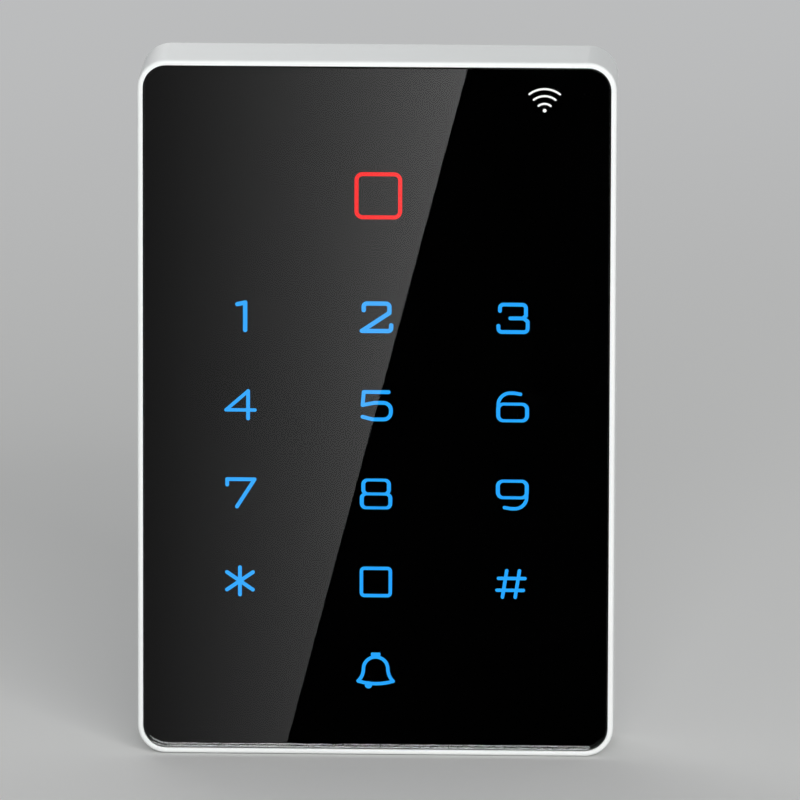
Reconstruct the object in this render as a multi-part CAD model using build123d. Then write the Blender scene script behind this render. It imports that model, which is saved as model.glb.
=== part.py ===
from build123d import *
from math import atan2, copysign, cos, degrees, hypot, radians, sin
import os

# A wall-mounted keypad access reader: a moulded case behind a flush glass touch panel, two circuit
# boards, a rear cover, and a steel wall plate with two hooks at the top and one screw from below.
#
# The origin is the centre of the wall plate's rear face. +X is to the right, +Z is up and the glass
# faces -Y. "Depth" is the distance in front of the wall, so depth = -y. Sizes are in millimetres.

# ---- case ----
WIDTH = 80.0
HEIGHT = 118.0
DEPTH = 20.0
CORNER_R = 4.8
RIM = 0.9
WALL_GAP = 0.5
SKIRT_WALL = 1.8
CASE_WALL = 2.8
SHOULDER_DEPTH = 4.1
LEDGE_DEPTH = 15.8
LEDGE_FRONT = 17.5
LEDGE_WIDTH = 1.4
LEDGE_CORNER_R = 1.6
REAR_EDGE_R = 0.55
FRONT_EDGE_R = 0.5
SEAM_Z = 38.7
SEAM_SIZE = 0.3

# ---- layers behind the glass, as (rear depth, front depth) ----
ADHESIVE = (17.5, 17.85)
PRINT = (17.85, 18.0)
GLASS = (18.0, 19.9)
BAFFLE = (15.8, 17.85)
TOUCH_BOARD = (14.6, 15.8)
MAIN_BOARD = (11.0, 12.2)
GLASS_GAP = 0.15
PRINT_INSET = 0.3
GLASS_BEVEL = 0.18
ADHESIVE_INSET = RIM + 0.4
ADHESIVE_WIDTH = 2.6
KEY_CELL = (10.0, 9.6)
RING_CELL = 11.0
WIRELESS_CELL = (8.0, 6.0)
CELL_CORNER_R = 2.0

# ---- legends ----
KEY_PITCH_X = 22.85
KEY_PITCH_Z = 15.05
KEY_ROW_1_Z = 15.5
KEY_STROKE = 0.64
BOLD_STROKE = 0.73
FINE_STROKE = 0.58
LOOP_LINE = 0.5
LOOP_SIDE = 0.16
DIGIT_X = 2.45
DIGIT_Z = 2.33
RING_X = 0.25
RING_Z = 36.1
RING_SIZE = 7.95
RING_STROKE = 0.66
RING_CORNER_R = 1.35
WIRELESS_X = 27.95
WIRELESS_Z = 52.55
WIRELESS_STROKE = 0.34
PINHOLE_X = 34.6
PINHOLE_Z = 53.5
PINHOLE_R = 0.2

# ---- boards ----
BOARD_GAP = 0.8
BOARD_SCREW_X = 31.0
BOARD_SCREW_TOP_Z = 38.0
BOARD_SCREW_BOTTOM_Z = -42.0
BOARD_SCREW_R = 1.0
BOARD_HOLE_R = 1.1
BOARD_SCREW_HEAD_R = 1.9
BOARD_SCREW_HEAD = 1.2
PAD_SIZE = (9.0, 7.0)
PAD_SHIFT = 1.5
PAD_CLEARANCE = 0.6
MAIN_BOARD_Z = (-46.5, 52.0)
TOUCH_BOARD_Z = (-49.5, 55.4)
COIL_WIDTH = 56.0
COIL_HEIGHT = 88.0
COIL_BAND = 2.5
COIL_CORNER_R = 7.0
COIL_THICK = 0.9
SPRING_R = 3.2
SPRING_WIRE_R = 0.2
LED_SIZE = (1.6, 0.8)
LED_LENS_SIZE = (1.1, 0.7)
STATUS_LED_X = 3.7

# ---- parts on the boards: places are (x, z), sizes are (width, height, thickness) ----
TOUCH_CHIP_AT = (-8.0, -8.0)
TOUCH_CHIP_SIZE = (5.3, 10.2, 1.6)
CONTROLLER_AT = (5.0, -30.0)
CONTROLLER_SIZE = (7.0, 7.0, 1.4)
READER_CHIP_AT = (-9.0, -31.0)
READER_CHIP_SIZE = (4.0, 8.7, 1.5)
CHIP_BEVEL = 0.15
LEAD_WIDTH = 0.22
LEAD_FOOT = 0.9
CONNECTOR_AT = (0.0, -38.0)
CONNECTOR_SIZE = (18.0, 4.4)
WIFI_MODULE_AT = (-17.0, 33.0)
WIFI_MODULE_SIZE = (18.0, 14.0, 0.8)
WIFI_SHIELD_AT = (-14.5, 33.0)
WIFI_SHIELD_SIZE = (12.0, 12.0, 2.1)
RELAY_AT = (23.0, 25.0)
RELAY_SIZE = (10.6, 7.4, 4.9)
RELAY_LEG_X = (-3.5, -1.0, 1.0, 3.5)
RELAY_LEG_Z = 3.5
BUZZER_AT = (20.0, -24.0)
BUZZER_R = 5.5
BUZZER_HEIGHT = 4.6
CAPACITORS = [(-13.5, 3.1, 5.2), (-6.0, 3.1, 5.2), (1.0, 2.5, 4.4)]
CAPACITOR_Z = -13.0
REGULATOR_AT = (27.0, 13.0)
REGULATOR_SIZE = (6.5, 3.5, 1.6)
REGULATOR_LEAD_PITCH = 2.3
INDUCTOR_AT = (-22.0, 17.0)
INDUCTOR_SIZE = (7.0, 7.0, 3.0)
DIODE_PLACES = [(-30.0, 19.5), (14.5, 14.0)]
DIODE_SIZE = (4.3, 2.6, 2.0)
CRYSTAL_AT = (12.5, -38.5)
CRYSTAL_SIZE = (5.0, 3.2, 1.0)
HEADER_PINS = 8
HEADER_PITCH = 2.5
HEADER_WIDTH = 5.4
HEADER_HEIGHT = 5.6
HEADER_FLOOR = 1.6
HEADER_WALL = 0.9
HEADER_KEY_X = 5.0
PIN_WIDTH = 0.6

# ---- rear cover ----
COVER = (1.7, 3.5)
COVER_GAP = 0.2
BOSS_X = 34.4
BOSS_Z = 53.4
BOSS_R = 3.0
CASE_SCREW_R = 1.25
CASE_SCREW_HEAD_R = 2.3
CASE_SCREW_HEAD = (1.8, 2.9)
CASE_SCREW_PLAY = 0.1
CASE_SCREW_TIP_DEPTH = 11.0
INLET_Z = 17.0
CABLE_R = 3.2
GROMMET_R = 6.0
GROMMET_NECK_R = 4.5
INLET_DOME_R = 8.0
INLET_DOME_FRONT = 5.2
GROMMET_SINK = 0.2
GROMMET_SEAT = 2.9
GROMMET_FRONT = 6.2
GROMMET_EDGE_R = 0.4
WELL_SIZE = (30.0, 20.0)
WELL_CORNER_R = 3.6
WELL_WALL = 1.8
WELL_DEPTH = 3.3
WINDOW_X = -24.0
WINDOW_Z = -28.0
WINDOW_R = 2.5
WINDOW_SINK = 0.1
WINDOW_SEAT = 0.9
WINDOW_THROAT_R = 1.8
HEAD_POCKET = (14.0, 11.0)
HEAD_POCKET_FRONT = 4.9
HEAD_POCKET_WALL = 1.2
THREAD_GAP = 0.05
WASHER_R = 3.1

# ---- wall plate ----
PLATE_THICK = 1.2
PLATE_WIDTH = 62.0
PLATE_HEIGHT = 102.0
WALL_HOLE_R = 2.1
WALL_HOLE_SPACING = 83.5
WALL_SLOT_SPACING = 40.0
WALL_SLOT_LENGTH = 7.0
CABLE_OPENING_WIDTH = 28.0
CABLE_OPENING_HEIGHT = 18.0
HOOK_X = 20.0
HOOK_WIDTH = 9.0
HOOK_ARM_Z = 53.8
HOOK_TOP_Z = 56.0
HOOK_LIP_DEPTH = 5.8
BEND_R = 1.2
FLANGE_WIDTH = 10.0
FLANGE_Z = -54.5
FLANGE_DEPTH = 9.0
BEND_START_Z = 48.0
NUT_COLLAR_R = 2.45
NUT_R = 3.3
NUT_HEIGHT = 1.7
GROOVE_DEPTH = 0.4
GROOVE_WIDTH = 4.0
GROOVES = [(-24.0, 10.0, 44.0), (24.0, 10.0, 44.0), (-10.0, -33.0, -7.0), (10.0, -33.0, -7.0)]

# ---- security screw, on a vertical axis at this depth ----
SCREW_DEPTH = 5.0
SCREW_R = 1.5
SCREW_TIP_Z = -50.5
HEAD_R = 2.9
HEAD_SEAT_Z = -57.5
WASHER_TOP_Z = -57.05
COUNTERBORE_Z = -57.0
LUG_TOP_Z = -55.8
LUG_HALF_WIDTH = 5.5
POCKET_HALF_WIDTH = 5.8
POCKET_TOP_Z = -48.5
POCKET_FRONT = 9.6
POCKET_WALL = 1.2

KEY_COLUMNS = (-KEY_PITCH_X, 0.0, KEY_PITCH_X)
KEY_ROWS = tuple(KEY_ROW_1_Z - row * KEY_PITCH_Z for row in range(5))
BOSS_PLACES = [(x, z) for x in (-BOSS_X, BOSS_X) for z in (-BOSS_Z, 0.0, BOSS_Z)]
BOARD_SCREW_PLACES = [
    (x, z)
    for x in (-BOARD_SCREW_X, BOARD_SCREW_X)
    for z in (BOARD_SCREW_BOTTOM_Z, BOARD_SCREW_TOP_Z)
]
PAD_PLACES = [(x + copysign(PAD_SHIFT, x), z) for x, z in BOARD_SCREW_PLACES]
HEAD_POCKET_PLACES = [
    (0.0, WALL_HOLE_SPACING / 2),
    (0.0, -WALL_HOLE_SPACING / 2),
    (-WALL_SLOT_SPACING / 2, 0.0),
    (WALL_SLOT_SPACING / 2, 0.0),
]


# ---- small helpers ----
def layer(depth):
    """The plane at one depth, seen from the front: its x is X, its y is Z."""
    return Plane(origin=(0, -depth, 0), x_dir=(1, 0, 0), z_dir=(0, -1, 0))


def slab(sketch, rear, front):
    """A flat outline in (x, z), thickened from one depth to another."""
    return extrude(layer(rear) * sketch, amount=front - rear)


def panel_outline(inset, corner_r):
    """The case's outline, moved in by inset on every side."""
    return RectangleRounded(WIDTH - 2 * inset, HEIGHT - 2 * inset, corner_r)


def at_each(places, sketch):
    """Copies of one sketch at several (x, z) places."""
    return [Pos(x, z) * sketch for x, z in places]


def between(low_z, high_z, width, corner_r):
    """A rounded rectangle centred on x = 0, from one height to another."""
    return Pos(0, (low_z + high_z) / 2) * RectangleRounded(width, high_z - low_z, corner_r)


def upright(radius, low_z, high_z):
    """A vertical cylinder on the security screw's axis."""
    foot = (Align.CENTER, Align.CENTER, Align.MIN)
    return Pos(0, -SCREW_DEPTH, low_z) * Cylinder(radius, high_z - low_z, align=foot)


def bar(start, end, width):
    """A straight stroke with round ends."""
    run_x = end[0] - start[0]
    run_z = end[1] - start[1]
    middle = ((start[0] + end[0]) / 2, (start[1] + end[1]) / 2)
    turn = degrees(atan2(run_z, run_x))
    return Pos(*middle) * Rot(0, 0, turn) * SlotCenterToCenter(hypot(run_x, run_z), width)


def stroke(points, radii, width=KEY_STROKE):
    """A bent stroke with round ends, its corners rounded by the given radii."""
    path = FilletPolyline(*points, radius=radii)
    return Sketch() + Face(Wire(path.edges()).offset_2d(width / 2))


def loop(width, height, corner_r, line, heavier_sides=0.0):
    """A rounded rectangle drawn as a line, measured over its outside."""
    inner_width = width - 2 * (line + heavier_sides)
    inner = RectangleRounded(inner_width, height - 2 * line, corner_r - line)
    return RectangleRounded(width, height, corner_r) - inner


def rear_edges(body):
    """The edges round a body's face nearest the wall."""
    return body.faces().sort_by(Axis.Y)[-1].edges()


def front_edges(body):
    """The edges round a body's face nearest the viewer."""
    return body.faces().sort_by(Axis.Y)[0].edges()


def save(name, shape):
    """Writes one node: one solid, or a group of separate solids."""
    shape.label = name
    export_step(shape, f"parts/{name}.step")


def group(solids):
    """Separate solids kept together as one node."""
    return Compound(children=[solid for item in solids for solid in item.solids()])


# ---- legends: each is centred on its own key ----
def digit_0():
    return loop(5.43, 5.25, 0.8, FINE_STROKE)


def digit_1():
    stem_x = 0.85
    return stroke([(stem_x - 1.3, 2.05), (stem_x, DIGIT_Z), (stem_x, -DIGIT_Z)], [0], BOLD_STROKE)


def digit_2():
    right = 2.15
    points = [(-right, 1.2), (-right, DIGIT_Z), (right, DIGIT_Z), (right, 0.75)]
    points += [(-DIGIT_X, -DIGIT_Z), (DIGIT_X, -DIGIT_Z), (DIGIT_X, -1.35)]
    return stroke(points, [0.55, 0.6, 0, 0, 0.5], BOLD_STROKE)


def digit_3():
    upper = [(-2.2, 1.25), (-2.2, DIGIT_Z), (2.15, DIGIT_Z), (2.15, 0.45), (1.65, 0.0), (-0.45, 0.0)]
    lower = [(-0.45, 0.0), (1.8, 0.0), (DIGIT_X, -0.55), (DIGIT_X, -DIGIT_Z)]
    lower += [(-DIGIT_X, -DIGIT_Z), (-DIGIT_X, -1.3)]
    return stroke(upper, [0.6, 0.65, 0, 0]) + stroke(lower, [0, 0, 0.65, 0.6])


def digit_4():
    stem_x = 1.35
    bar_z = -0.9
    slope = stroke([(stem_x, DIGIT_Z), (-2.35, bar_z), (2.5, bar_z)], [0], FINE_STROKE)
    return slope + bar((stem_x, -DIGIT_Z), (stem_x, DIGIT_Z), KEY_STROKE)


def digit_5():
    points = [(2.05, DIGIT_Z), (-2.1, DIGIT_Z), (-2.3, 0.1), (-0.3, 0.5), (DIGIT_X, 0.5)]
    points += [(DIGIT_X, -DIGIT_Z), (-0.6, -DIGIT_Z), (-2.3, -1.9)]
    return stroke(points, [0, 0, 1.5, 1.25, 1.25, 1.5])


def digit_6():
    bowl = Pos(0, -0.96) * loop(5.5, 3.34, 1.15, LOOP_LINE, LOOP_SIDE)
    left = -2.42
    tail = stroke([(left, -0.9), (left, DIGIT_Z), (0.2, DIGIT_Z), (1.3, 2.15)], [2.0, 0.5], FINE_STROKE)
    return bowl + tail


def digit_7():
    points = [(-2.15, 1.4), (-2.15, DIGIT_Z), (DIGIT_X, DIGIT_Z), (-0.5, -DIGIT_Z)]
    return stroke(points, [0, 0])


def digit_8():
    height = (5.25 + LOOP_LINE) / 2
    shift = (height - LOOP_LINE) / 2
    upper = Pos(0, shift) * loop(4.95, height, 1.0, LOOP_LINE, LOOP_SIDE)
    lower = Pos(0, -shift) * loop(5.45, height, 1.0, LOOP_LINE, LOOP_SIDE)
    return upper + lower


def digit_9():
    return Rot(0, 0, 180) * digit_6()


def star():
    reach_x = 2.18
    reach_z = 1.5
    arms = bar((0, -DIGIT_Z), (0, DIGIT_Z), KEY_STROKE)
    arms += bar((-reach_x, -reach_z), (reach_x, reach_z), KEY_STROKE)
    arms += bar((-reach_x, reach_z), (reach_x, -reach_z), KEY_STROKE)
    return arms


def hash_sign():
    lean = 0.35
    half_z = 2.27
    half_x = 2.21
    sign = Sketch()
    for x in (-1.07, 1.07):
        sign += bar((x - lean, -half_z), (x + lean, half_z), FINE_STROKE)
    for z, shift in ((0.95, 0.12), (-1.08, -0.12)):
        sign += bar((shift - half_x, z), (shift + half_x, z), FINE_STROKE)
    return Pos(-0.15, -0.15) * sign


def bell():
    """A bell's outline, with a knob on top and a clapper below."""
    dome_r = 2.05
    dome_z = 0.15
    hem_x = 2.95
    hem_z = -1.95
    sag = 0.45
    dome = ThreePointArc((-dome_r, dome_z), (0, dome_z + dome_r), (dome_r, dome_z))
    left = TangentArc((-dome_r, dome_z), (-hem_x, hem_z), tangent=(0, -1))
    right = TangentArc((dome_r, dome_z), (hem_x, hem_z), tangent=(0, -1))
    hem = ThreePointArc((-hem_x, hem_z), (0, hem_z - sag), (hem_x, hem_z))
    outline = make_face([*dome.edges(), *left.edges(), *right.edges(), *hem.edges()])
    line = FINE_STROKE / 2
    shape = offset(outline, line) - offset(outline, -line)
    knob = Pos(0, dome_z + dome_r + 0.45) * RectangleRounded(1.6, 0.6, 0.15)
    clapper = Pos(-1.2, hem_z - 0.65) * Circle(0.62)
    return shape + knob + clapper


def wireless_sign():
    """Three arcs over a dot, all about a point just below the dot."""
    dot_z = -1.85
    centre_z = dot_z - 0.5
    half_angle = 38.0
    sign = Pos(0, dot_z) * Circle(0.31)
    for radius in (1.65, 2.95, 4.14):
        arc = CenterArc((0, centre_z), radius, 90 - half_angle, 2 * half_angle)
        sign += Face(Wire(arc.edges()).offset_2d(WIRELESS_STROKE / 2))
    return sign


def card_ring():
    return loop(RING_SIZE, RING_SIZE, RING_CORNER_R, RING_STROKE)


def key_faces():
    """Every key's legend with its centre, row by row from the top."""
    rows = [
        (digit_1, digit_2, digit_3),
        (digit_4, digit_5, digit_6),
        (digit_7, digit_8, digit_9),
        (star, digit_0, hash_sign),
    ]
    faces = []
    for z, row in zip(KEY_ROWS, rows):
        for x, legend in zip(KEY_COLUMNS, row):
            faces.append((x, z, legend()))
    faces.append((0.0, KEY_ROWS[4], bell()))
    return faces


KEY_FACES = key_faces()
KEY_PLACES = [(x, z) for x, z, legend in KEY_FACES]


# ---- case and panel ----
def screw_lug():
    """The thick part of the bottom wall that the security screw clamps."""
    low_z = -HEIGHT / 2 + 1.0
    outline = Pos(0, (low_z + LUG_TOP_Z) / 2) * Rectangle(2 * LUG_HALF_WIDTH, LUG_TOP_Z - low_z)
    return slab(outline, WALL_GAP, POCKET_FRONT - 0.2)


def open_slot(half_width, low_z, high_z):
    """A vertical U-shaped slot round the screw's axis, open towards the wall."""
    straight = Pos(0, -SCREW_DEPTH / 2) * Rectangle(2 * half_width, SCREW_DEPTH)
    outline = Pos(0, -SCREW_DEPTH) * Circle(half_width) + straight
    return extrude(Pos(0, 0, low_z) * outline, amount=high_z - low_z)


def board_pads():
    """Four pads on the ledge that take the board screws."""
    pads = Sketch() + at_each(PAD_PLACES, Rectangle(*PAD_SIZE))
    return pads & panel_outline(RIM + 0.3, CORNER_R - RIM)


def front_frame():
    body = slab(panel_outline(0, CORNER_R), WALL_GAP, DEPTH)
    body = fillet(front_edges(body), FRONT_EDGE_R)
    body = fillet(rear_edges(body), REAR_EDGE_R)
    body -= slab(panel_outline(SKIRT_WALL, CORNER_R - SKIRT_WALL), 0, SHOULDER_DEPTH)
    body -= slab(panel_outline(CASE_WALL, CORNER_R - CASE_WALL), 0, LEDGE_DEPTH)
    body -= slab(panel_outline(CASE_WALL + LEDGE_WIDTH, LEDGE_CORNER_R), 0, DEPTH)
    body -= slab(panel_outline(RIM, CORNER_R - RIM), LEDGE_FRONT, DEPTH + 1)
    boss_area = panel_outline(CASE_WALL - 0.5, CORNER_R - CASE_WALL)
    for place in at_each(BOSS_PLACES, Circle(BOSS_R)):
        body += slab(place & boss_area, SHOULDER_DEPTH, LEDGE_DEPTH)
    stub_area = panel_outline(CASE_WALL + 0.1, CORNER_R - CASE_WALL)
    for place in at_each(BOSS_PLACES, Circle(BOSS_R - 0.3)):
        body += slab(place & stub_area, COVER[1], SHOULDER_DEPTH)
    body += slab(board_pads(), LEDGE_DEPTH, LEDGE_FRONT)
    body += screw_lug()
    for hole in at_each(BOSS_PLACES, Circle(CASE_SCREW_R)):
        body -= slab(hole, COVER[1], CASE_SCREW_TIP_DEPTH + 0.5)
    for hole in at_each(BOARD_SCREW_PLACES, Circle(BOARD_SCREW_R)):
        body -= slab(hole, LEDGE_DEPTH, LEDGE_FRONT - 0.2)
    body -= open_slot(SCREW_R + 0.3, -HEIGHT / 2 - 1, LUG_TOP_Z + 1)
    body -= open_slot(HEAD_R + 0.5, -HEIGHT / 2 - 1, COUNTERBORE_Z)
    groove = Rectangle(2 * SEAM_SIZE, SEAM_SIZE)
    for x in (-WIDTH / 2, WIDTH / 2):
        body -= slab(Pos(x, SEAM_Z) * groove, 0, LEDGE_FRONT)
    return body


def front_panel():
    glass = slab(panel_outline(RIM + GLASS_GAP, CORNER_R - RIM - GLASS_GAP), *GLASS)
    return chamfer(front_edges(glass), GLASS_BEVEL)


def panel_print():
    inset = RIM + GLASS_GAP + PRINT_INSET
    outline = panel_outline(inset, CORNER_R - inset)
    for x, z, legend in KEY_FACES:
        outline -= Pos(x, z) * legend
    outline -= Pos(RING_X, RING_Z) * card_ring()
    outline -= Pos(WIRELESS_X, WIRELESS_Z) * wireless_sign()
    outline -= Pos(PINHOLE_X, PINHOLE_Z) * Circle(PINHOLE_R)
    return group([slab(outline, *PRINT)])


def key_legends():
    return group([slab(Pos(x, z) * legend, *PRINT) for x, z, legend in KEY_FACES])


def status_ring():
    return slab(Pos(RING_X, RING_Z) * card_ring(), *PRINT)


def wireless_icon():
    return group([slab(Pos(WIRELESS_X, WIRELESS_Z) * wireless_sign(), *PRINT)])


def panel_adhesive():
    outer = panel_outline(ADHESIVE_INSET, CORNER_R - ADHESIVE_INSET)
    inner = panel_outline(ADHESIVE_INSET + ADHESIVE_WIDTH, LEDGE_CORNER_R)
    return slab(outer - inner, *ADHESIVE)


def light_baffle():
    inset = CASE_WALL + LEDGE_WIDTH + 0.3
    outline = panel_outline(inset, LEDGE_CORNER_R - 0.2)
    for cell in at_each(KEY_PLACES, RectangleRounded(*KEY_CELL, CELL_CORNER_R)):
        outline -= cell
    outline -= Pos(RING_X, RING_Z) * RectangleRounded(RING_CELL, RING_CELL, CELL_CORNER_R)
    outline -= Pos(WIRELESS_X, WIRELESS_Z) * RectangleRounded(*WIRELESS_CELL, CELL_CORNER_R)
    pad_hole = Rectangle(PAD_SIZE[0] + PAD_CLEARANCE, PAD_SIZE[1] + PAD_CLEARANCE)
    for pad in at_each(PAD_PLACES, pad_hole):
        outline -= pad
    return slab(outline, *BAFFLE)


# ---- touch board ----
def board_outline(heights):
    """A board's outline, cut away round the case's bosses, with its screw holes."""
    width = WIDTH - 2 * (CASE_WALL + BOARD_GAP)
    outline = between(heights[0], heights[1], width, 1.5)
    for notch in at_each(BOSS_PLACES, Circle(BOSS_R + 0.7)):
        outline -= notch
    for hole in at_each(BOARD_SCREW_PLACES, Circle(BOARD_HOLE_R)):
        outline -= hole
    return outline


def touch_springs():
    """One coil spring round each key's light, between the board and the glass."""
    low = BAFFLE[0] + SPRING_WIRE_R
    height = PRINT[0] - BAFFLE[0] - 2 * SPRING_WIRE_R
    path = Helix(pitch=height / 2, height=height, radius=SPRING_R)
    spring = sweep(Plane(origin=path @ 0, z_dir=path % 0) * Circle(SPRING_WIRE_R), path=path)
    return group([layer(low) * Pos(x, z, 0) * spring for x, z in KEY_PLACES])


def led(x, z):
    """A small surface-mounted light on the touch board."""
    front = TOUCH_BOARD[1]
    base = slab(Pos(x, z) * Rectangle(*LED_SIZE), front, front + 0.3)
    lens = slab(Pos(x, z) * RectangleRounded(*LED_LENS_SIZE, 0.1), front + 0.3, front + 0.65)
    return base + lens


def antenna_coil():
    coil = loop(COIL_WIDTH, COIL_HEIGHT, COIL_CORNER_R, COIL_BAND)
    return slab(Pos(0, -1) * coil, TOUCH_BOARD[0] - COIL_THICK, TOUCH_BOARD[0])


def lead_pair(span, along, rear_face, thickness):
    """Two opposite gull-wing leads, each a leg beside the body and a foot on the board."""
    foot = Rectangle(LEAD_FOOT + 0.2, LEAD_WIDTH)
    leg = Rectangle(0.4, LEAD_WIDTH)
    foot_x = span / 2 + LEAD_FOOT / 2 - 0.1
    leg_x = span / 2 + 0.15
    feet = Sketch() + at_each([(-foot_x, along), (foot_x, along)], foot)
    legs = Sketch() + at_each([(-leg_x, along), (leg_x, along)], leg)
    middle = rear_face - 0.1 - thickness / 2
    return slab(feet, rear_face - 0.25, rear_face) + slab(legs, middle, rear_face - 0.1)


def leaded_chip(place, size, leads, turns, rear_face):
    """A moulded chip with leads on its left and right, and again at each further turn."""
    width, height, thickness = size
    rear = rear_face - 0.1 - thickness
    body = slab(Rectangle(width, height), rear, rear_face - 0.1)
    body = chamfer(rear_edges(body), CHIP_BEVEL)
    body -= slab(Pos(width / 2 - 0.9, height / 2 - 0.9) * Circle(0.3), 0, rear + 0.1)
    pitch = 0.85 * height / leads
    for turn in turns:
        for n in range(leads):
            along = (n - (leads - 1) / 2) * pitch
            body += Rot(0, turn, 0) * lead_pair(width, along, rear_face, thickness)
    return Pos(place[0], 0, place[1]) * body


def boards_join():
    """A board-to-board connector that fills the gap between the two boards."""
    block = Pos(*CONNECTOR_AT) * RectangleRounded(*CONNECTOR_SIZE, 0.4)
    return slab(block, MAIN_BOARD[1], TOUCH_BOARD[0])


def board_spacers():
    tube = Circle(BOARD_SCREW_HEAD_R) - Circle(BOARD_HOLE_R)
    return group([slab(t, MAIN_BOARD[1], TOUCH_BOARD[0]) for t in at_each(BOARD_SCREW_PLACES, tube)])


def cross_recess(depth_from, depth_to, size):
    """The cross-shaped driver recess of a small screw."""
    arms = Rectangle(size, size / 4) + Rectangle(size / 4, size)
    return slab(arms, depth_from, depth_to)


def board_screws():
    head_rear = MAIN_BOARD[0] - BOARD_SCREW_HEAD
    head = slab(Circle(BOARD_SCREW_HEAD_R), head_rear, MAIN_BOARD[0])
    head = fillet(rear_edges(head), 0.5)
    shank = slab(Circle(BOARD_SCREW_R), MAIN_BOARD[0], LEDGE_FRONT - 0.4)
    screw = head + shank - cross_recess(head_rear, head_rear + 0.7, 2.0)
    return group([Pos(x, 0, z) * screw for x, z in BOARD_SCREW_PLACES])


# ---- main board: every part stands on its rear face ----
def on_main(sketch, height, gap=0.0):
    """A part that stands rearwards from the main board."""
    return slab(sketch, MAIN_BOARD[0] - gap - height, MAIN_BOARD[0] - gap)


def block_at(place, size, corner_r, gap=0.0):
    """A block standing on the main board, its upright corners rounded."""
    return on_main(Pos(*place) * RectangleRounded(size[0], size[1], corner_r), size[2], gap)


def wifi_module():
    return block_at(WIFI_MODULE_AT, WIFI_MODULE_SIZE, 0.2)


def wifi_shield():
    can = block_at(WIFI_SHIELD_AT, WIFI_SHIELD_SIZE, 0.8, WIFI_MODULE_SIZE[2])
    return fillet(rear_edges(can), 0.3)


def relay():
    case = block_at(RELAY_AT, RELAY_SIZE, 0.4, 0.2)
    case = fillet(rear_edges(case), 0.3)
    for x in RELAY_LEG_X:
        for z in (-RELAY_LEG_Z, RELAY_LEG_Z):
            case += on_main(Pos(RELAY_AT[0] + x, RELAY_AT[1] + z) * Rectangle(0.5, 0.9), 0.3)
    return case


def buzzer():
    can = fillet(rear_edges(on_main(Circle(BUZZER_R), BUZZER_HEIGHT)), 0.4)
    can -= slab(Circle(1.0), 0, MAIN_BOARD[0] - BUZZER_HEIGHT + 1.2)
    return Pos(BUZZER_AT[0], 0, BUZZER_AT[1]) * can


def capacitor(x, radius, height):
    """An upright can on a square moulded base."""
    side = 2 * radius + 0.3
    base = block_at((x, CAPACITOR_Z), (side, side, 0.8), 0.5)
    can = on_main(Pos(x, CAPACITOR_Z) * Circle(radius), height)
    return base + fillet(rear_edges(can), 0.35)


def capacitors():
    return group([capacitor(*each) for each in CAPACITORS])


def regulator():
    x, z = REGULATOR_AT
    body = block_at(REGULATOR_AT, REGULATOR_SIZE, 0.1, 0.1)
    for n in (-1, 0, 1):
        body += on_main(Pos(x + n * REGULATOR_LEAD_PITCH, z - 2.4) * Rectangle(0.7, 1.8), 0.3)
    return body + on_main(Pos(x, z + 2.5) * Rectangle(3.0, 1.6), 0.3)


def inductor():
    core = block_at(INDUCTOR_AT, INDUCTOR_SIZE, 1.6)
    ring = Circle(2.9) - Circle(2.6)
    return core - slab(Pos(*INDUCTOR_AT) * ring, 0, MAIN_BOARD[0] - INDUCTOR_SIZE[2] + 0.2)


def diodes():
    parts = []
    for x, z in DIODE_PLACES:
        tabs = on_main(Pos(x, z) * Rectangle(5.2, 1.4), 0.4)
        parts.append(tabs + block_at((x, z), DIODE_SIZE, 0.2, 0.1))
    return group(parts)


def crystal():
    return fillet(rear_edges(block_at(CRYSTAL_AT, CRYSTAL_SIZE, 0.5)), 0.2)


def pin_places():
    middle = (HEADER_PINS - 1) / 2
    return [((n - middle) * HEADER_PITCH, 0.0) for n in range(HEADER_PINS)]


def wire_header():
    """The shrouded socket that the door cable plugs into."""
    length = HEADER_PINS * HEADER_PITCH + 2.4
    floor = MAIN_BOARD[0] - HEADER_FLOOR
    shell = block_at((0, 0), (length, HEADER_WIDTH, HEADER_HEIGHT), 0.3)
    shell -= slab(Rectangle(length - 2 * HEADER_WALL, HEADER_WIDTH - 2 * HEADER_WALL), 0, floor)
    for x in (-HEADER_KEY_X, HEADER_KEY_X):
        shell -= slab(Pos(x, 0.3 - HEADER_WIDTH / 2) * Rectangle(1.6, 1.4), 0, floor)
    for hole in at_each(pin_places(), Rectangle(PIN_WIDTH, PIN_WIDTH)):
        shell -= slab(hole, 0, MAIN_BOARD[0])
    return shell


def header_pins():
    pins = []
    for section in at_each(pin_places(), Rectangle(PIN_WIDTH, PIN_WIDTH)):
        pin = on_main(section, HEADER_HEIGHT - 0.8)
        pins.append(chamfer(rear_edges(pin), 0.12))
    return group(pins)


def light_sensor():
    disc = on_main(Pos(WINDOW_X, WINDOW_Z) * (Circle(WINDOW_R) & Rectangle(4.3, 6)), 2.0)
    return fillet(rear_edges(disc), 0.25)


# ---- rear cover ----
def screw_pocket(grow, rear, front):
    """The space round the wall plate's flange, made larger by grow on every side."""
    low_z = -HEIGHT / 2 + SKIRT_WALL if grow == 0 else LUG_TOP_Z - 0.2
    high_z = POCKET_TOP_Z + grow
    outline = Rectangle(2 * (POCKET_HALF_WIDTH + grow), high_z - low_z)
    return slab(Pos(0, (low_z + high_z) / 2) * outline, rear, front)


def hook_slots():
    """The openings in the cover that the wall plate's hooks pass through."""
    low_z = HOOK_ARM_Z - 3.3
    high_z = HOOK_ARM_Z + 0.8
    slot = RectangleRounded(HOOK_WIDTH + 1.4, high_z - low_z, 0.5)
    middle_z = (low_z + high_z) / 2
    return Sketch() + at_each([(-HOOK_X, middle_z), (HOOK_X, middle_z)], slot)


def grown(size, grow, corner_r):
    """A rounded rectangle made larger by grow on every side."""
    return RectangleRounded(size[0] + 2 * grow, size[1] + 2 * grow, corner_r + grow)


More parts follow.
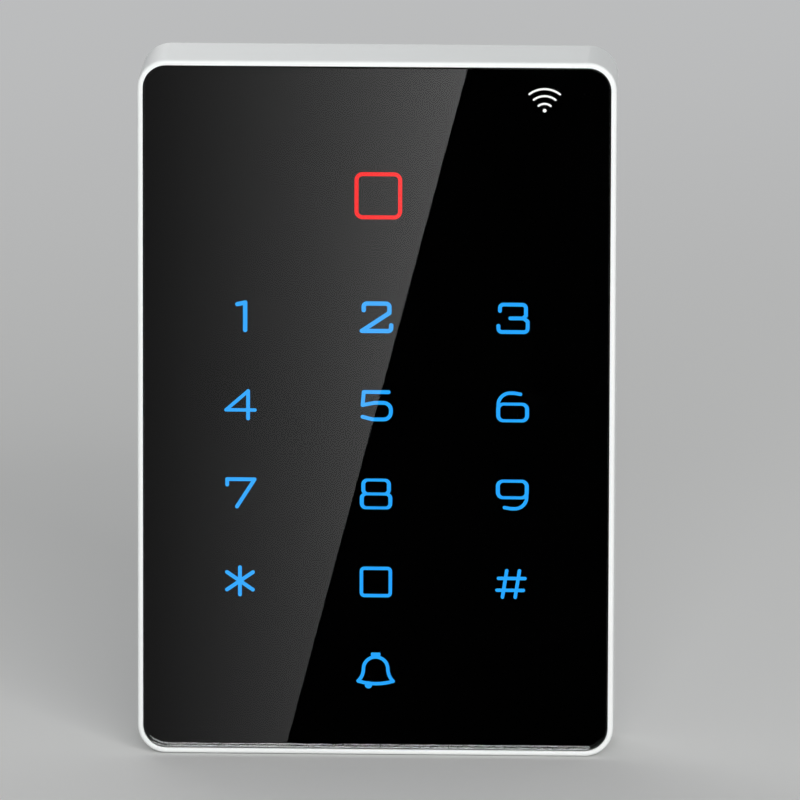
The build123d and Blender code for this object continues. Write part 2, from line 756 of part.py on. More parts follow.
def cover_plate():
    """The cover with its raised pockets, before anything is opened."""
    inset = SKIRT_WALL + COVER_GAP
    plate = slab(panel_outline(inset, CORNER_R - inset), *COVER)
    length, height = HEAD_POCKET
    shell = SlotOverall(length + 2 * HEAD_POCKET_WALL, height + 2 * HEAD_POCKET_WALL)
    for pocket in at_each(HEAD_POCKET_PLACES, shell):
        plate += slab(pocket, COVER[0], HEAD_POCKET_FRONT + HEAD_POCKET_WALL)
    shell = grown(WELL_SIZE, WELL_WALL, WELL_CORNER_R)
    plate += slab(Pos(0, INLET_Z) * shell, COVER[0], COVER[1] + WELL_DEPTH)
    plate += slab(Pos(0, INLET_Z) * Circle(INLET_DOME_R), COVER[0], INLET_DOME_FRONT + WELL_DEPTH)
    return plate + screw_pocket(POCKET_WALL, COVER[0], POCKET_FRONT + POCKET_WALL)


def rear_cover():
    cover = cover_plate()
    for pocket in at_each(HEAD_POCKET_PLACES, SlotOverall(*HEAD_POCKET)):
        cover -= slab(pocket, 0, HEAD_POCKET_FRONT)
    cover -= screw_pocket(0, 0, POCKET_FRONT)
    cover -= slab(Pos(0, INLET_Z) * grown(WELL_SIZE, 0, WELL_CORNER_R), 0, COVER[0] + WELL_DEPTH)
    cover -= slab(Pos(0, INLET_Z) * Circle(GROMMET_R + 0.1), 0, GROMMET_SEAT + WELL_DEPTH)
    cover -= slab(Pos(0, INLET_Z) * Circle(GROMMET_NECK_R), 0, GROMMET_FRONT + WELL_DEPTH)
    cover -= slab(hook_slots(), 0, COVER[1] + 1)
    cover -= slab(Pos(WINDOW_X, WINDOW_Z) * Circle(WINDOW_R + 0.1), 0, COVER[0] + WINDOW_SEAT)
    cover -= slab(Pos(WINDOW_X, WINDOW_Z) * Circle(WINDOW_THROAT_R + 0.1), 0, COVER[1] + 1)
    mouth = slab(Circle(CASE_SCREW_HEAD_R + CASE_SCREW_PLAY), 0, CASE_SCREW_HEAD[0])
    hole = mouth + case_screw_shape(CASE_SCREW_PLAY)
    for x, z in BOSS_PLACES:
        cover -= Pos(x, 0, z) * hole
    return cover


def case_screw_shape(play):
    """A countersunk screw, or the space round it when there is some play."""
    head_rear, head_front = CASE_SCREW_HEAD
    widest = layer(head_rear) * Circle(CASE_SCREW_HEAD_R + play)
    narrowest = layer(head_front) * Circle(CASE_SCREW_R + play)
    shank = slab(Circle(CASE_SCREW_R + play), head_front, CASE_SCREW_TIP_DEPTH)
    return loft([widest, narrowest]) + shank


def case_screws():
    screw = case_screw_shape(0) - cross_recess(0, COVER[0] + 0.8, 2.2)
    return group([Pos(x, 0, z) * screw for x, z in BOSS_PLACES])


def case_gasket():
    outer = panel_outline(SKIRT_WALL + 0.1, CORNER_R - SKIRT_WALL - 0.1)
    ring = outer - panel_outline(CASE_WALL, CORNER_R - CASE_WALL)
    ring -= Pos(0, LUG_TOP_Z) * Rectangle(2 * LUG_HALF_WIDTH + 0.6, 4.0)
    return slab(ring, COVER[1], SHOULDER_DEPTH)


def sensor_window():
    pane = slab(Circle(WINDOW_R), COVER[0] + WINDOW_SINK, COVER[0] + WINDOW_SEAT)
    pane += slab(Circle(WINDOW_THROAT_R), COVER[0] + WINDOW_SEAT, COVER[1])
    return Pos(WINDOW_X, 0, WINDOW_Z) * pane


def cable_grommet():
    """A flanged rubber sleeve, just below the floor of the cable well."""
    sleeve = slab(Circle(GROMMET_R), COVER[0] + GROMMET_SINK, GROMMET_SEAT)
    sleeve += slab(Circle(GROMMET_NECK_R), GROMMET_SEAT, INLET_DOME_FRONT)
    sleeve += slab(Circle(GROMMET_R - GROMMET_SINK), INLET_DOME_FRONT, GROMMET_FRONT)
    sleeve = fillet(front_edges(sleeve), GROMMET_EDGE_R)
    return Pos(0, -WELL_DEPTH, INLET_Z) * (sleeve - slab(Circle(CABLE_R), 0, GROMMET_FRONT + 1))


# ---- wall plate and its screw ----
def bent_strip(points, width, middle_x):
    """Sheet metal bent along points given as (y, z), with its width along X."""
    path = FilletPolyline(*points, radius=BEND_R)
    section = trace(path, PLATE_THICK)
    plane = Plane(origin=(middle_x - width / 2, 0, 0), x_dir=(0, 1, 0), z_dir=(1, 0, 0))
    return extrude(plane * section, amount=width)


def plate_outline():
    """The flat plate with its wall-screw holes, slots and cable opening."""
    outline = RectangleRounded(PLATE_WIDTH, PLATE_HEIGHT, 4.0)
    for z in (-WALL_HOLE_SPACING / 2, WALL_HOLE_SPACING / 2):
        outline -= Pos(0, z) * Circle(WALL_HOLE_R)
    for x in (-WALL_SLOT_SPACING / 2, WALL_SLOT_SPACING / 2):
        outline -= Pos(x, 0) * SlotOverall(WALL_SLOT_LENGTH, 2 * WALL_HOLE_R)
    return outline - Pos(0, INLET_Z) * RectangleRounded(CABLE_OPENING_WIDTH, CABLE_OPENING_HEIGHT, 3.0)


def wall_plate():
    plate = slab(plate_outline(), 0, PLATE_THICK)
    for x, low_z, high_z in GROOVES:
        groove = Rot(0, 0, 90) * SlotOverall(high_z - low_z, GROOVE_WIDTH)
        plate -= slab(Pos(x, (low_z + high_z) / 2) * groove, 0, GROOVE_DEPTH)
    middle = -PLATE_THICK / 2
    hook = [(middle, BEND_START_Z), (middle, HOOK_ARM_Z)]
    hook += [(-HOOK_LIP_DEPTH, HOOK_ARM_Z), (-HOOK_LIP_DEPTH, HOOK_TOP_Z)]
    for x in (-HOOK_X, HOOK_X):
        plate += bent_strip(hook, HOOK_WIDTH, x)
    flange = [(middle, -BEND_START_Z), (middle, FLANGE_Z), (-FLANGE_DEPTH, FLANGE_Z)]
    plate += bent_strip(flange, FLANGE_WIDTH, 0)
    return plate - upright(NUT_COLLAR_R, FLANGE_Z - 2, FLANGE_Z + 2)


def flange_nut():
    """A pressed-in nut whose collar stands proud below the flange."""
    top = FLANGE_Z + PLATE_THICK / 2
    nut = upright(NUT_COLLAR_R, LUG_TOP_Z + 0.3, top) + upright(NUT_R, top, top + NUT_HEIGHT)
    return nut - upright(SCREW_R + THREAD_GAP, -HEIGHT / 2, SCREW_TIP_Z)


def star_recess():
    """A six-lobed driver recess with a pin left standing in its middle."""
    lobes = Circle(0.95)
    for n in range(6):
        turn = radians(60 * n)
        lobes += Pos(1.0 * cos(turn), 1.0 * sin(turn)) * Circle(0.28)
    return lobes - Circle(0.4)


def security_screw():
    low_z = -HEIGHT / 2
    head = upright(HEAD_R, low_z, HEAD_SEAT_Z)
    head = fillet(head.faces().sort_by(Axis.Z)[0].edges(), 0.7)
    recess = extrude(Pos(0, -SCREW_DEPTH, low_z) * star_recess(), amount=1.0)
    shank = upright(SCREW_R, HEAD_SEAT_Z, SCREW_TIP_Z)
    shank = chamfer(shank.faces().sort_by(Axis.Z)[-1].edges(), 0.4)
    return head - recess + shank


def screw_washer():
    ring = upright(WASHER_R, HEAD_SEAT_Z, WASHER_TOP_Z)
    return ring - upright(SCREW_R + 0.08, HEAD_SEAT_Z, WASHER_TOP_Z)


def main():
    os.makedirs("parts", exist_ok=True)
    save("front_frame", front_frame())
    save("front_panel", front_panel())
    save("panel_print", panel_print())
    save("key_legends", key_legends())
    save("status_ring", status_ring())
    save("wireless_icon", wireless_icon())
    save("panel_adhesive", panel_adhesive())
    save("light_baffle", light_baffle())
    save("touch_board", slab(board_outline(TOUCH_BOARD_Z), *TOUCH_BOARD))
    save("touch_springs", touch_springs())
    save("key_leds", group([led(x, z) for x, z in KEY_PLACES]))
    save("status_leds", group([led(x, RING_Z) for x in (-STATUS_LED_X, STATUS_LED_X)]))
    save("wireless_led", led(WIRELESS_X, WIRELESS_Z))
    save("touch_chip", leaded_chip(TOUCH_CHIP_AT, TOUCH_CHIP_SIZE, 14, [0], TOUCH_BOARD[0]))
    save("antenna_coil", antenna_coil())
    save("board_connector", boards_join())
    save("board_spacers", board_spacers())
    save("board_screws", board_screws())
    save("main_board", slab(board_outline(MAIN_BOARD_Z), *MAIN_BOARD))
    save("microcontroller", leaded_chip(CONTROLLER_AT, CONTROLLER_SIZE, 10, [0, 90], MAIN_BOARD[0]))
    save("reader_chip", leaded_chip(READER_CHIP_AT, READER_CHIP_SIZE, 7, [0], MAIN_BOARD[0]))
    save("wifi_module", wifi_module())
    save("wifi_shield", wifi_shield())
    save("relay", relay())
    save("buzzer", buzzer())
    save("capacitors", capacitors())
    save("regulator", regulator())
    save("inductor", inductor())
    save("diodes", diodes())
    save("crystal", crystal())
    save("wire_header", wire_header())
    save("header_pins", header_pins())
    save("light_sensor", light_sensor())
    save("rear_cover", rear_cover())
    save("case_screws", case_screws())
    save("case_gasket", case_gasket())
    save("sensor_window", sensor_window())
    save("cable_grommet", cable_grommet())
    save("wall_plate", wall_plate())
    save("flange_nut", flange_nut())
    save("security_screw", security_screw())
    save("screw_washer", screw_washer())


main()
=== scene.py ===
"""Looks for the keypad access reader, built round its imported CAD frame. Lengths are in metres."""
import math
import bpy
from mathutils import Matrix, Vector


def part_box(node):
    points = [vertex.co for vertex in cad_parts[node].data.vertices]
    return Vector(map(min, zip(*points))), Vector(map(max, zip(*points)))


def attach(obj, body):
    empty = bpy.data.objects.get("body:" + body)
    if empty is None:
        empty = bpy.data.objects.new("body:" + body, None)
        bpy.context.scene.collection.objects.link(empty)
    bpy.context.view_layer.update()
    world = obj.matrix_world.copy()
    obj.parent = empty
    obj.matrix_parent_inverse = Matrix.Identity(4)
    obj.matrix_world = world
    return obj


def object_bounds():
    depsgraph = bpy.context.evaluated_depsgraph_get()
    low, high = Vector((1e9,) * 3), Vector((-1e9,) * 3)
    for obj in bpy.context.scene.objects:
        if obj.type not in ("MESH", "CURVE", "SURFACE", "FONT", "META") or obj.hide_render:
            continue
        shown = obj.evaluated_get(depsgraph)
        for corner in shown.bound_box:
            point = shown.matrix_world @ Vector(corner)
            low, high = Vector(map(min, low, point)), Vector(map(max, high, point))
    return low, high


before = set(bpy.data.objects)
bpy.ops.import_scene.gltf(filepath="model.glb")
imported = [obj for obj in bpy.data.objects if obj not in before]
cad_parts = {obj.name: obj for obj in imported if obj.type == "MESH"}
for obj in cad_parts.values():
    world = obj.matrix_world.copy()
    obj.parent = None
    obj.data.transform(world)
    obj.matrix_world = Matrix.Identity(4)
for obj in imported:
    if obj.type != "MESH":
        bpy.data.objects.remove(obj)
CAD_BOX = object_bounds()
MM = 0.001

# ---- camera: where it stands round the object, and how it is turned and zoomed ----
AZIMUTH = 1.678
ELEVATION = 10.4
ROLL = 0.167
DISTANCE = 2.0484
LENS = 547.95
AIM = Vector((3.714, -10.0, -0.127)) * MM

# ---- the studio ----
FLOOR_DROP = 0.15 * MM
FLOOR_SIZE = 4.0
FLOOR_COLOUR = (0.78, 0.78, 0.77, 1.0)
BACKDROP = (0.50, 0.505, 0.51, 1.0)
SKY = 0.36
LOW_SKY = 0.5
SKY_COLOUR = (0.97, 0.985, 1.0, 1.0)
LIGHT_WIDTH = 1.6
KEY_SPOT = (0.5, -2.3, 0.75)
REAR_SPOT = (-0.8, 2.3, 1.1)
KEY_POWER = 43.5
REAR_POWER = 11.0

# ---- the soft cards that the glass mirrors: a slanted edge, brighter towards the right ----
CARD_Y = -1.0
CARD_EDGE_X = 0.02 * MM
CARD_SLOPE = 0.2608
CARD_LEFT_X = -90.0 * MM
CARD_LOW_Z = -75.0 * MM
CARD_HIGH_Z = 210.0 * MM
SIDE_EYE = (1.46, -1.47, 0.96)
GLOW_FROM = (-38.3 * MM, 26 / 255)
GLOW_TO = (12.1 * MM, 79 / 255)
GLASS_REFLECTANCE = 0.042

# ---- patterns on the boards and the coil ----
TRACK_PITCH = 1.3 * MM
WIRE_PITCH = 0.3 * MM
COIL_HALF_WIDTH = 28.0 * MM
COIL_HALF_HEIGHT = 44.0 * MM
COIL_DROP = 1.0 * MM

# ---- the black coat round the glass: its section, out from the edge and forward of the back ----
INK_CLEARANCE = 0.012 * MM
EDGE_CORNER_R = 3.75 * MM
EDGE_STEPS = 10
EDGE_SECTION = ((0.10, -0.12), (0.10, 1.68), (0.02, 1.68), (0.02, -0.02), (-0.28, -0.02), (-0.28, -0.12))


# ---- node helpers ----
def add(tree, kind, inputs=(), output=0, **settings):
    """Adds a shader node; inputs take numbers or another node's socket."""
    made = tree.nodes.new("ShaderNode" + kind)
    for key, value in settings.items():
        setattr(made, key, value)
    for key, value in dict(inputs).items():
        if isinstance(value, bpy.types.NodeSocket):
            tree.links.new(value, made.inputs[key])
        else:
            made.inputs[key].default_value = value
    return made.outputs[output]


def calc(tree, operation, a, b=0.0):
    return add(tree, "Math", {0: a, 1: b}, operation=operation)


def remap(tree, value, low, high, start=0.3, end=0.7, **settings):
    """Moves a value from start..end to low..high."""
    inputs = {"Value": value, "From Min": start, "From Max": end, "To Min": low, "To Max": high}
    return add(tree, "MapRange", inputs, **settings)


def blend(tree, factor, first, second):
    """One colour turning into another."""
    return add(tree, "Mix", {0: factor, 6: first, 7: second}, output=2, data_type="RGBA")


def place(tree, stretch=(1.0, 1.0, 1.0)):
    """A point's place on the object, which moves with the object."""
    spot = add(tree, "TexCoord", output=3)
    return add(tree, "Mapping", {"Vector": spot, "Scale": stretch})


def axes(tree):
    """A point's x, y and z on the object."""
    split = add(tree, "SeparateXYZ", {0: place(tree)}).node
    return split.outputs[0], split.outputs[1], split.outputs[2]


def noise(tree, size, detail=3.0, stretch=(1.0, 1.0, 1.0)):
    """Soft noise with features about that many millimetres across."""
    inputs = {"Vector": place(tree, stretch), "Scale": 1.0 / (size * MM), "Detail": detail}
    return add(tree, "TexNoise", inputs)


def cells(tree, size, output, **settings):
    inputs = {"Vector": place(tree), "Scale": 1.0 / (size * MM)}
    return add(tree, "TexVoronoi", inputs, output=output, **settings)


def bump(tree, height, depth):
    return add(tree, "Bump", {"Height": height, "Distance": depth * MM, "Strength": 1.0})


def shade(colour, amount):
    """A colour made lighter or darker."""
    return tuple(min(1.0, c * amount) for c in colour[:3]) + (1.0,)


def start(name, **inputs):
    """A new material with its shader's plain values set."""
    material = bpy.data.materials.new(name)
    material.use_nodes = True
    shader = material.node_tree.nodes["Principled BSDF"]
    for key, value in inputs.items():
        shader.inputs[key.replace("_", " ").title().replace("Ior", "IOR")].default_value = value
    return material, material.node_tree, shader


def join(tree, shader, **sockets):
    """Links sockets to the shader's inputs."""
    for key, socket in sockets.items():
        tree.links.new(socket, shader.inputs[key.replace("_", " ").title()])


# ---- families of material ----
def moulded(name, colour, roughness, grain=0.3, depth=0.004, **values):
    """Moulded plastic or rubber: faint clouding, uneven gloss and a fine spark-eroded grain."""
    material, tree, shader = start(name, **values)
    cloud = noise(tree, 14.0)
    speck = noise(tree, 0.9, 2.0)
    tone = calc(tree, "ADD", calc(tree, "MULTIPLY", cloud, 0.7), calc(tree, "MULTIPLY", speck, 0.3))
    join(
        tree,
        shader,
        base_color=blend(tree, remap(tree, tone, 0.0, 1.0), shade(colour, 0.975), shade(colour, 1.015)),
        roughness=remap(tree, tone, roughness - 0.03, roughness + 0.04),
        normal=bump(tree, noise(tree, grain, 2.0), depth),
    )
    return material


def metal(name, colour, roughness, stretch=(1.0, 1.0, 1.0), size=0.4, depth=0.002, **values):
    """Bare metal: fine drawn or rolled lines, with soft stains in its gloss."""
    material, tree, shader = start(name, metallic=1.0, **values)
    lines = noise(tree, size, 3.0, stretch)
    stain = noise(tree, 9.0)
    join(
        tree,
        shader,
        base_color=blend(tree, remap(tree, stain, 0.0, 1.0), shade(colour, 0.93), shade(colour, 1.04)),
        roughness=remap(
            tree, calc(tree, "ADD", calc(tree, "MULTIPLY", lines, 0.5), calc(tree, "MULTIPLY", stain, 0.5)),
            roughness - 0.07, roughness + 0.09,
        ),
        normal=bump(tree, lines, depth),
    )
    return material


def zinc(name, colour):
    """Zinc-plated sheet: pale crystals of slightly different tone, rolling lines and small dents."""
    material, tree, shader = start(name, metallic=1.0, anisotropic=0.25)
    crystal = cells(tree, 3.2, 1, feature="F1")
    tone = add(tree, "SeparateColor", {0: crystal})
    lines = noise(tree, 0.35, 3.0, (1.0, 1.0, 0.06))
    mixed = calc(tree, "ADD", calc(tree, "MULTIPLY", tone, 0.5), calc(tree, "MULTIPLY", lines, 0.5))
    dents = calc(tree, "ADD", lines, calc(tree, "MULTIPLY", noise(tree, 6.0), 1.5))
    join(
        tree,
        shader,
        base_color=blend(tree, mixed, shade(colour, 0.88), shade(colour, 1.06)),
        roughness=remap(tree, mixed, 0.27, 0.44, 0.2, 0.8),
        normal=bump(tree, dents, 0.004),
    )
    return material


def two_part(name, first, second, mask, first_gloss, second_gloss, second_metallic=1.0):
    """One moulded piece with metal or differently coloured parts, told apart by their place."""
    material, tree, shader = start(name)
    where = mask(tree)
    cloud = remap(tree, noise(tree, 1.6), 0.92, 1.06)
    colour = blend(tree, where, first, second)
    grey = add(tree, "CombineXYZ", {0: cloud, 1: cloud, 2: cloud})
    join(
        tree,
        shader,
        base_color=add(tree, "VectorMath", {0: colour, 1: grey}, operation="MULTIPLY"),
        metallic=calc(tree, "MULTIPLY", where, second_metallic),
        roughness=remap(tree, where, first_gloss, second_gloss, 0.0, 1.0),
        normal=bump(tree, noise(tree, 0.25, 2.0), 0.003),
    )
    return material


def outside_box(places):
    """A mask that is 1 outside every box of (x, z, width, height) in millimetres."""
    def mask(tree):
        x, _, z = axes(tree)
        inside = None
        for cx, cz, width, height in places:
            near_x = calc(tree, "COMPARE", x, cx * MM)
            near_x.node.inputs[2].default_value = width / 2 * MM
            near_z = calc(tree, "COMPARE", z, cz * MM)
            near_z.node.inputs[2].default_value = height / 2 * MM
            both = calc(tree, "MULTIPLY", near_x, near_z)
            inside = both if inside is None else calc(tree, "MAXIMUM", inside, both)
        return calc(tree, "SUBTRACT", 1.0, inside)
    return mask


def deeper_than(depth):
    """A mask that is 1 where a point is further from the wall than that depth in millimetres."""
    def mask(tree):
        _, y, _ = axes(tree)
        return calc(tree, "LESS_THAN", y, -depth * MM)
    return mask


def ripple(tree, value, pitch):
    """A sine wave along a value."""
    return calc(tree, "SINE", calc(tree, "MULTIPLY", value, 2 * math.pi / pitch))


def board(name, colour):
    """A circuit board: copper tracks under green solder mask, with tinned vias."""
    material, tree, shader = start(name, coat_weight=0.25, coat_roughness=0.2)
    x, _, z = axes(tree)
    patch = add(tree, "SeparateColor", {0: cells(tree, 7.0, 1, distance="CHEBYCHEV")})
    picked = calc(tree, "GREATER_THAN", patch, 0.5)
    run_x = ripple(tree, x, TRACK_PITCH)
    run_z = ripple(tree, z, TRACK_PITCH)
    run = add(tree, "Mix", {0: picked, 2: run_x, 3: run_z}, data_type="FLOAT")
    track = remap(tree, run, 0.0, 1.0, 0.55, 0.75)
    via = remap(tree, cells(tree, 4.2, 0), 1.0, 0.0, 0.085, 0.105)
    masked = blend(tree, track, shade(colour, 0.8), shade(colour, 1.7))
    join(
        tree,
        shader,
        base_color=blend(tree, via, masked, (0.72, 0.70, 0.64, 1.0)),
        metallic=via,
        roughness=remap(tree, track, 0.42, 0.34, 0.0, 1.0),
        normal=bump(tree, track, 0.03),
    )
    return material


def winding(name, colour):
    """Enamelled wire laid side by side round a rectangle with round corners; its colour carries painted
    shade in the grooves between turns and a painted highlight along each turn's crest.
    """
    material, tree, shader = start(name, metallic=1.0, coat_weight=0.6, coat_roughness=0.15)
    x, _, z = axes(tree)
    out_x = calc(tree, "SUBTRACT", calc(tree, "ABSOLUTE", x), COIL_HALF_WIDTH)
    from_middle = calc(tree, "ABSOLUTE", calc(tree, "ADD", z, COIL_DROP))
    out_z = calc(tree, "SUBTRACT", from_middle, COIL_HALF_HEIGHT)
    turns = ripple(tree, calc(tree, "MAXIMUM", out_x, out_z), WIRE_PITCH)
    groove_shade_crest_highlight = remap(tree, turns, 0.0, 1.0, -1.0, 1.0)
    join(
        tree,
        shader,
        # painted shade and highlight: the colour is darker in the grooves between turns and lighter along
        # each turn's crest
        base_color=blend(tree, groove_shade_crest_highlight, shade(colour, 0.55), shade(colour, 1.1)),
        roughness=remap(tree, noise(tree, 2.0), 0.22, 0.36),
        normal=bump(tree, turns, 0.08),
    )
    return material


def lit_legend(name, colour, strength):
    """Ink that lets coloured light through, a little uneven where the light behind it spreads."""
    material, tree, shader = start(name, roughness=0.6, specular_ior_level=0.0, emission_strength=strength)
    spread = remap(tree, noise(tree, 3.0, 1.0), 0.0, 1.0)
    join(
        tree,
        shader,
        base_color=blend(tree, spread, shade(colour, 0.05), shade(colour, 0.08)),
        emission_color=blend(tree, spread, shade(colour, 0.985), colour),
    )
    return material


def glass(name, colour, roughness):
    """Clear glass with a trace of handling marks in its gloss."""
    material, tree, shader = start(name, transmission_weight=1.0, ior=1.5)
    marks = noise(tree, 22.0, 5.0)
    join(
        tree,
        shader,
        base_color=blend(tree, marks, shade(colour, 0.995), shade(colour, 1.0)),
        roughness=remap(tree, marks, 0.0, roughness, 0.45, 0.75),
    )
    return material


def ink(name, colour):
    """Black ink bonded to the back of the glass, so that it has no gloss of its own."""
    material, tree, shader = start(name, roughness=0.9, specular_ior_level=0.0)
    join(
        tree,
        shader,
        base_color=blend(tree, noise(tree, 1.5, 4.0), shade(colour, 0.5), shade(colour, 1.5)),
        normal=bump(tree, noise(tree, 0.2, 2.0), 0.002),
    )
    return material


# ---- the record's material slots ----
TIN = (0.72, 0.72, 0.70, 1.0)
CHIP_BODIES = [(-8, -8, 5.3, 10.2), (5, -30, 7.0, 7.0), (-9, -31, 4.0, 8.7), (27, 13, 6.5, 3.5)]
CHIP_BODIES += [(-30, 19.5, 4.3, 2.6), (14.5, 14, 4.3, 2.6)]


def make_materials():
    """One finished material for each of the record's slots."""
    return {
        "case_plastic": moulded("case_plastic", (0.905, 0.925, 0.915), 0.40, 0.28, 0.003),
        "cover_plastic": moulded("cover_plastic", (0.80, 0.81, 0.80), 0.55, 0.35, 0.008),
        "panel_glass": glass("panel_glass", (0.97, 0.99, 0.985), 0.01),
        "print_black": ink("print_black", (0.0006, 0.0006, 0.0007)),
        "legend_blue": lit_legend("legend_blue", (0.022, 0.381, 1.0, 1.0), 1.08),
        "ring_red": lit_legend("ring_red", (1.0, 0.0, 0.0, 1.0), 1.08),
        "icon_white": lit_legend("icon_white", (1.0, 1.0, 1.0, 1.0), 1.08),
        "tape_black": moulded("tape_black", (0.02, 0.02, 0.02), 0.8, 0.2, 0.02),
        "foam_black": moulded("foam_black", (0.02, 0.02, 0.02), 0.9, 0.5, 0.08),
        "board_green": board("board_green", (0.015, 0.10, 0.045)),
        "led_body": two_part(
            "led_body", (0.85, 0.82, 0.70, 1.0), (0.95, 0.93, 0.75, 1.0), deeper_than(16.1), 0.45, 0.1, 0.0),
        "spring_steel": metal("spring_steel", (0.70, 0.70, 0.68), 0.25),
        "chip_black": two_part(
            "chip_black", (0.02, 0.02, 0.022, 1.0), TIN, outside_box(CHIP_BODIES), 0.55, 0.3),
        "copper_wire": winding("copper_wire", (0.72, 0.30, 0.12)),
        "connector_white": moulded("connector_white", (0.86, 0.84, 0.76), 0.45),
        "screw_steel": metal("screw_steel", (0.62, 0.62, 0.63), 0.3, (1.0, 0.2, 1.0)),
        "can_steel": metal("can_steel", (0.74, 0.75, 0.76), 0.28, (0.15, 1.0, 1.0)),
        "relay_plastic": moulded("relay_plastic", (0.02, 0.05, 0.16), 0.35),
        "capacitor_can": two_part(
            "capacitor_can", (0.80, 0.81, 0.82, 1.0), (0.02, 0.02, 0.02, 1.0), deeper_than(10.2),
            0.3, 0.5, 0.0),
        "ferrite": moulded("ferrite", (0.045, 0.045, 0.05), 0.6, 0.4, 0.02),
        "pin_tin": metal("pin_tin", (0.80, 0.79, 0.75), 0.22),
        "sensor_ceramic": moulded(
            "sensor_ceramic", (0.80, 0.35, 0.14), 0.25, coat_weight=1.0, coat_roughness=0.05),
        "window_clear": glass("window_clear", (0.96, 0.97, 0.98), 0.08),
        "gasket_rubber": moulded("gasket_rubber", (0.025, 0.025, 0.028), 0.62, 0.3, 0.015),
        "plate_steel": zinc("plate_steel", (0.66, 0.68, 0.71)),
        "security_steel": metal("security_steel", (0.64, 0.63, 0.62), 0.24, (1.0, 1.0, 0.1)),
    }


def paint_nodes(materials):
    """Gives each CAD node its slot's material."""
    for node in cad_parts.values():
        slot = node.data.materials[0].name.split(".")[0]
        node.data.materials.clear()
        node.data.materials.append(materials[slot])


# ---- studio ----
def camera_frame():
    """The camera's place, and its right, up and backward directions."""
    azimuth, elevation, roll = (math.radians(v) for v in (AZIMUTH, ELEVATION, ROLL))
    level = math.cos(elevation)
    back = Vector((math.sin(azimuth) * level, -math.cos(azimuth) * level, math.sin(elevation)))
    right = Vector((0, 0, 1)).cross(back).normalized()
    up = back.cross(right)
    turned_right = right * math.cos(roll) + up * math.sin(roll)
    turned_up = up * math.cos(roll) - right * math.sin(roll)
    return AIM + back * DISTANCE, turned_right, turned_up, back


def make_camera():
    spot, right, up, back = camera_frame()
    camera = bpy.data.objects.new("camera", bpy.data.cameras.new("camera"))
    camera.data.lens = LENS
    camera.data.sensor_width = 36.0
    camera.data.clip_start = 0.1
    camera.data.clip_end = 20.0
    turn = Matrix((right, up, back)).transposed().to_4x4()
    camera.matrix_world = Matrix.Translation(spot) @ turn
    bpy.context.scene.collection.objects.link(camera)
    bpy.context.scene.camera = camera


def new_mesh(name, vertices, faces):
    mesh = bpy.data.meshes.new(name)
    mesh.from_pydata([tuple(v) for v in vertices], [], faces)
    made = bpy.data.objects.new(name, mesh)
    bpy.context.scene.collection.objects.link(made)
    return made


def flat_mesh(name, corners):
    made = new_mesh(name, corners, [tuple(range(len(corners)))])
    return made


def make_floor():
    """A pale floor that fades into the backdrop's tone further out."""
    low = CAD_BOX[0].z - FLOOR_DROP
    s = FLOOR_SIZE
    floor = flat_mesh("floor", [(-s, -s, low), (s, -s, low), (s, s, low), (-s, s, low)])
    floor.visible_glossy = False
    floor.visible_transmission = False
    material, tree, shader = start("floor", base_color=FLOOR_COLOUR, roughness=0.9, specular_ior_level=0.0)
    spot = add(tree, "TexCoord", output=3)
    away = add(tree, "VectorMath", {0: spot}, output=1, operation="LENGTH")
    fade = remap(tree, away, 0.0, 1.0, 0.25, 0.9, interpolation_type="SMOOTHSTEP")
    glow = add(tree, "Emission", {"Color": BACKDROP, "Strength": 1.0})
    seen = add(tree, "LightPath", output=0)
    both = add(tree, "MixShader", {0: calc(tree, "MULTIPLY", fade, seen), 1: shader.outputs[0], 2: glow})
    tree.links.new(both, tree.nodes["Material Output"].inputs["Surface"])
    floor.data.materials.append(material)


def make_world():
    """Soft light from all round: even above, none low down in front where the glass looks."""
    world = bpy.data.worlds.new("studio")
    bpy.context.scene.world = world
    world.use_nodes = True
    tree = world.node_tree
    split = add(tree, "SeparateXYZ", {0: add(tree, "TexCoord", output=0)}).node
    high = remap(tree, split.outputs[2], 0.0, 1.0, 0.02, 0.22, interpolation_type="SMOOTHSTEP")
    behind = remap(tree, split.outputs[1], 0.0, 1.0, -0.1, 0.4, interpolation_type="SMOOTHSTEP")
    above = calc(tree, "MULTIPLY", high, SKY)
    low = calc(tree, "SUBTRACT", 1.0, high)
    below = calc(tree, "MULTIPLY", low, calc(tree, "MULTIPLY", behind, LOW_SKY))
    strength = calc(tree, "ADD", above, below)
    light = add(tree, "Background", {"Strength": strength, "Color": SKY_COLOUR})
    shown = add(tree, "Background", {"Color": BACKDROP, "Strength": 1.0})
    seen = add(tree, "LightPath", output=0)
    both = add(tree, "MixShader", {0: seen, 1: light, 2: shown})
    tree.links.new(both, tree.nodes["World Output"].inputs["Surface"])


def make_light(name, spot, power):
    """A soft light, twice as wide as it is high, that faces the object."""
    data = bpy.data.lights.new(name, "AREA")
    data.shape = "RECTANGLE"
    data.size = LIGHT_WIDTH
    data.size_y = LIGHT_WIDTH / 2
    data.energy = power
    lamp = bpy.data.objects.new(name, data)
    lamp.location = spot
    lamp.rotation_mode = "QUATERNION"
    lamp.rotation_quaternion = Vector(spot).to_track_quat("Z", "Y")
    lamp.visible_camera = False
    bpy.context.scene.collection.objects.link(lamp)


def card_corner(eye, x, z):
    """The point of the card that an eye sees mirrored at (x, z) on the glass."""
    glass_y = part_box("front_panel")[0].y
    mirrored = Vector((eye.x, 2 * glass_y - eye.y, eye.z))
    reach = (mirrored.y - CARD_Y) / (mirrored.y - glass_y)
    return mirrored + (Vector((x, glass_y, z)) - mirrored) * reach


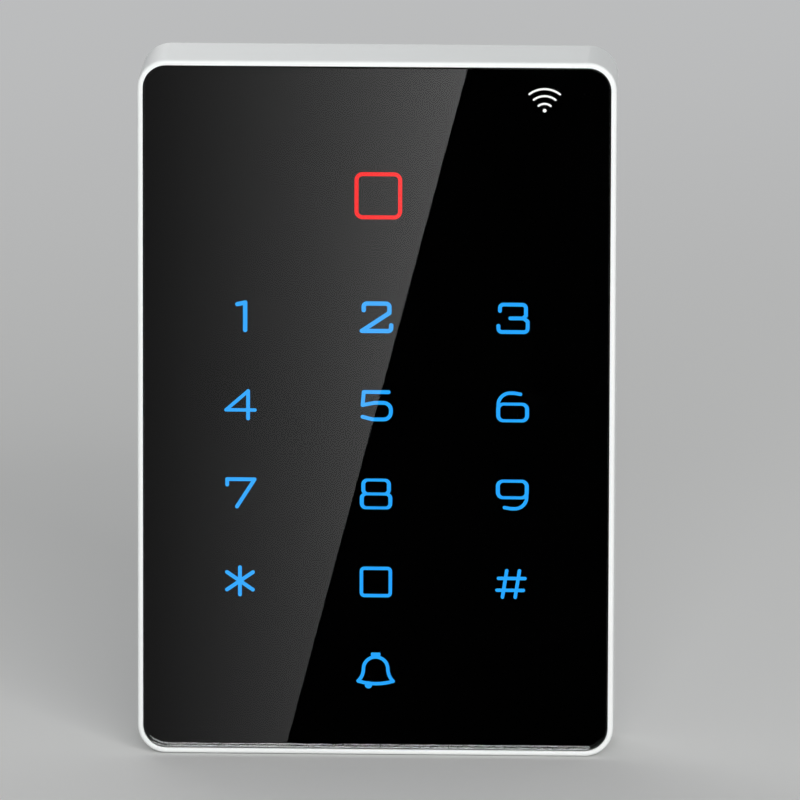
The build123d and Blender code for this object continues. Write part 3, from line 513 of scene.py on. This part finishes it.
def make_card(name, eye):
    """A graded card with a slanted edge, which only mirrored rays see, placed for one eye."""
    right_low = CARD_EDGE_X + CARD_SLOPE * CARD_LOW_Z
    right_high = CARD_EDGE_X + CARD_SLOPE * CARD_HIGH_Z
    outline = [(CARD_LEFT_X, CARD_HIGH_Z), (right_high, CARD_HIGH_Z)]
    outline += [(right_low, CARD_LOW_Z), (CARD_LEFT_X, CARD_LOW_Z)]
    card = flat_mesh(name, [card_corner(eye, x, z) for x, z in outline])
    for unseen in ("camera", "diffuse", "transmission", "volume_scatter", "shadow"):
        setattr(card, "visible_" + unseen, False)
    material, tree, _ = start(name)
    x, _, _ = axes(tree)
    start_x = card_corner(eye, GLOW_FROM[0], 0).x
    end_x = card_corner(eye, GLOW_TO[0], 0).x
    level = remap(tree, x, GLOW_FROM[1], GLOW_TO[1], start_x, end_x, clamp=False)
    lifted = calc(tree, "DIVIDE", calc(tree, "ADD", level, 0.055), 1.055)
    linear = calc(tree, "POWER", lifted, 2.4)
    glow = add(tree, "Emission", {"Strength": calc(tree, "DIVIDE", linear, GLASS_REFLECTANCE)})
    tree.links.new(glow, tree.nodes["Material Output"].inputs["Surface"])
    card.data.materials.append(material)


def edge_ring(out, forward):
    """A rounded rectangle round the glass, that far outside its edge and in front of its back."""
    _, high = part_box("front_panel")
    points = []
    for turn, (right, up) in enumerate(((1, 1), (-1, 1), (-1, -1), (1, -1))):
        x, z = right * (high.x - EDGE_CORNER_R), up * (high.z - EDGE_CORNER_R)
        for step in range(EDGE_STEPS + 1):
            angle = (turn + step / EDGE_STEPS) * math.pi / 2
            away = Vector((math.cos(angle), 0, math.sin(angle))) * (EDGE_CORNER_R + out * MM)
            points.append(Vector((x, high.y - forward * MM, z)) + away)
    return points


def coat_edge(material):
    """Black ink on the glass's edge and the bare border of its back, as one closed ring."""
    rings = [edge_ring(out, forward) for out, forward in EDGE_SECTION]
    count = len(rings[0])
    faces = []
    for i in range(len(rings)):
        here, there = i * count, (i + 1) % len(rings) * count
        for j in range(count):
            k = (j + 1) % count
            faces.append((here + j, here + k, there + k, there + j))
    coat = new_mesh("edge_coat", [point for ring in rings for point in ring], faces)
    coat.data.materials.append(material)
    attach(coat, "reader")


def part_glass():
    """Keeps the glass a hair clear of the ink behind it, so that the two faces never fight."""
    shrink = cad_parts["front_panel"].modifiers.new("hair_gap", "DISPLACE")
    shrink.mid_level = 0.0
    shrink.strength = -INK_CLEARANCE


bpy.context.scene.view_settings.view_transform = "Standard"
materials = make_materials()
paint_nodes(materials)
part_glass()
coat_edge(materials["print_black"])
make_camera()
make_floor()
make_world()
make_light("front_light", KEY_SPOT, KEY_POWER)
make_light("rear_light", REAR_SPOT, REAR_POWER)
make_card("reflection_card", camera_frame()[0])
make_card("side_reflection_card", Vector(SIDE_EYE))
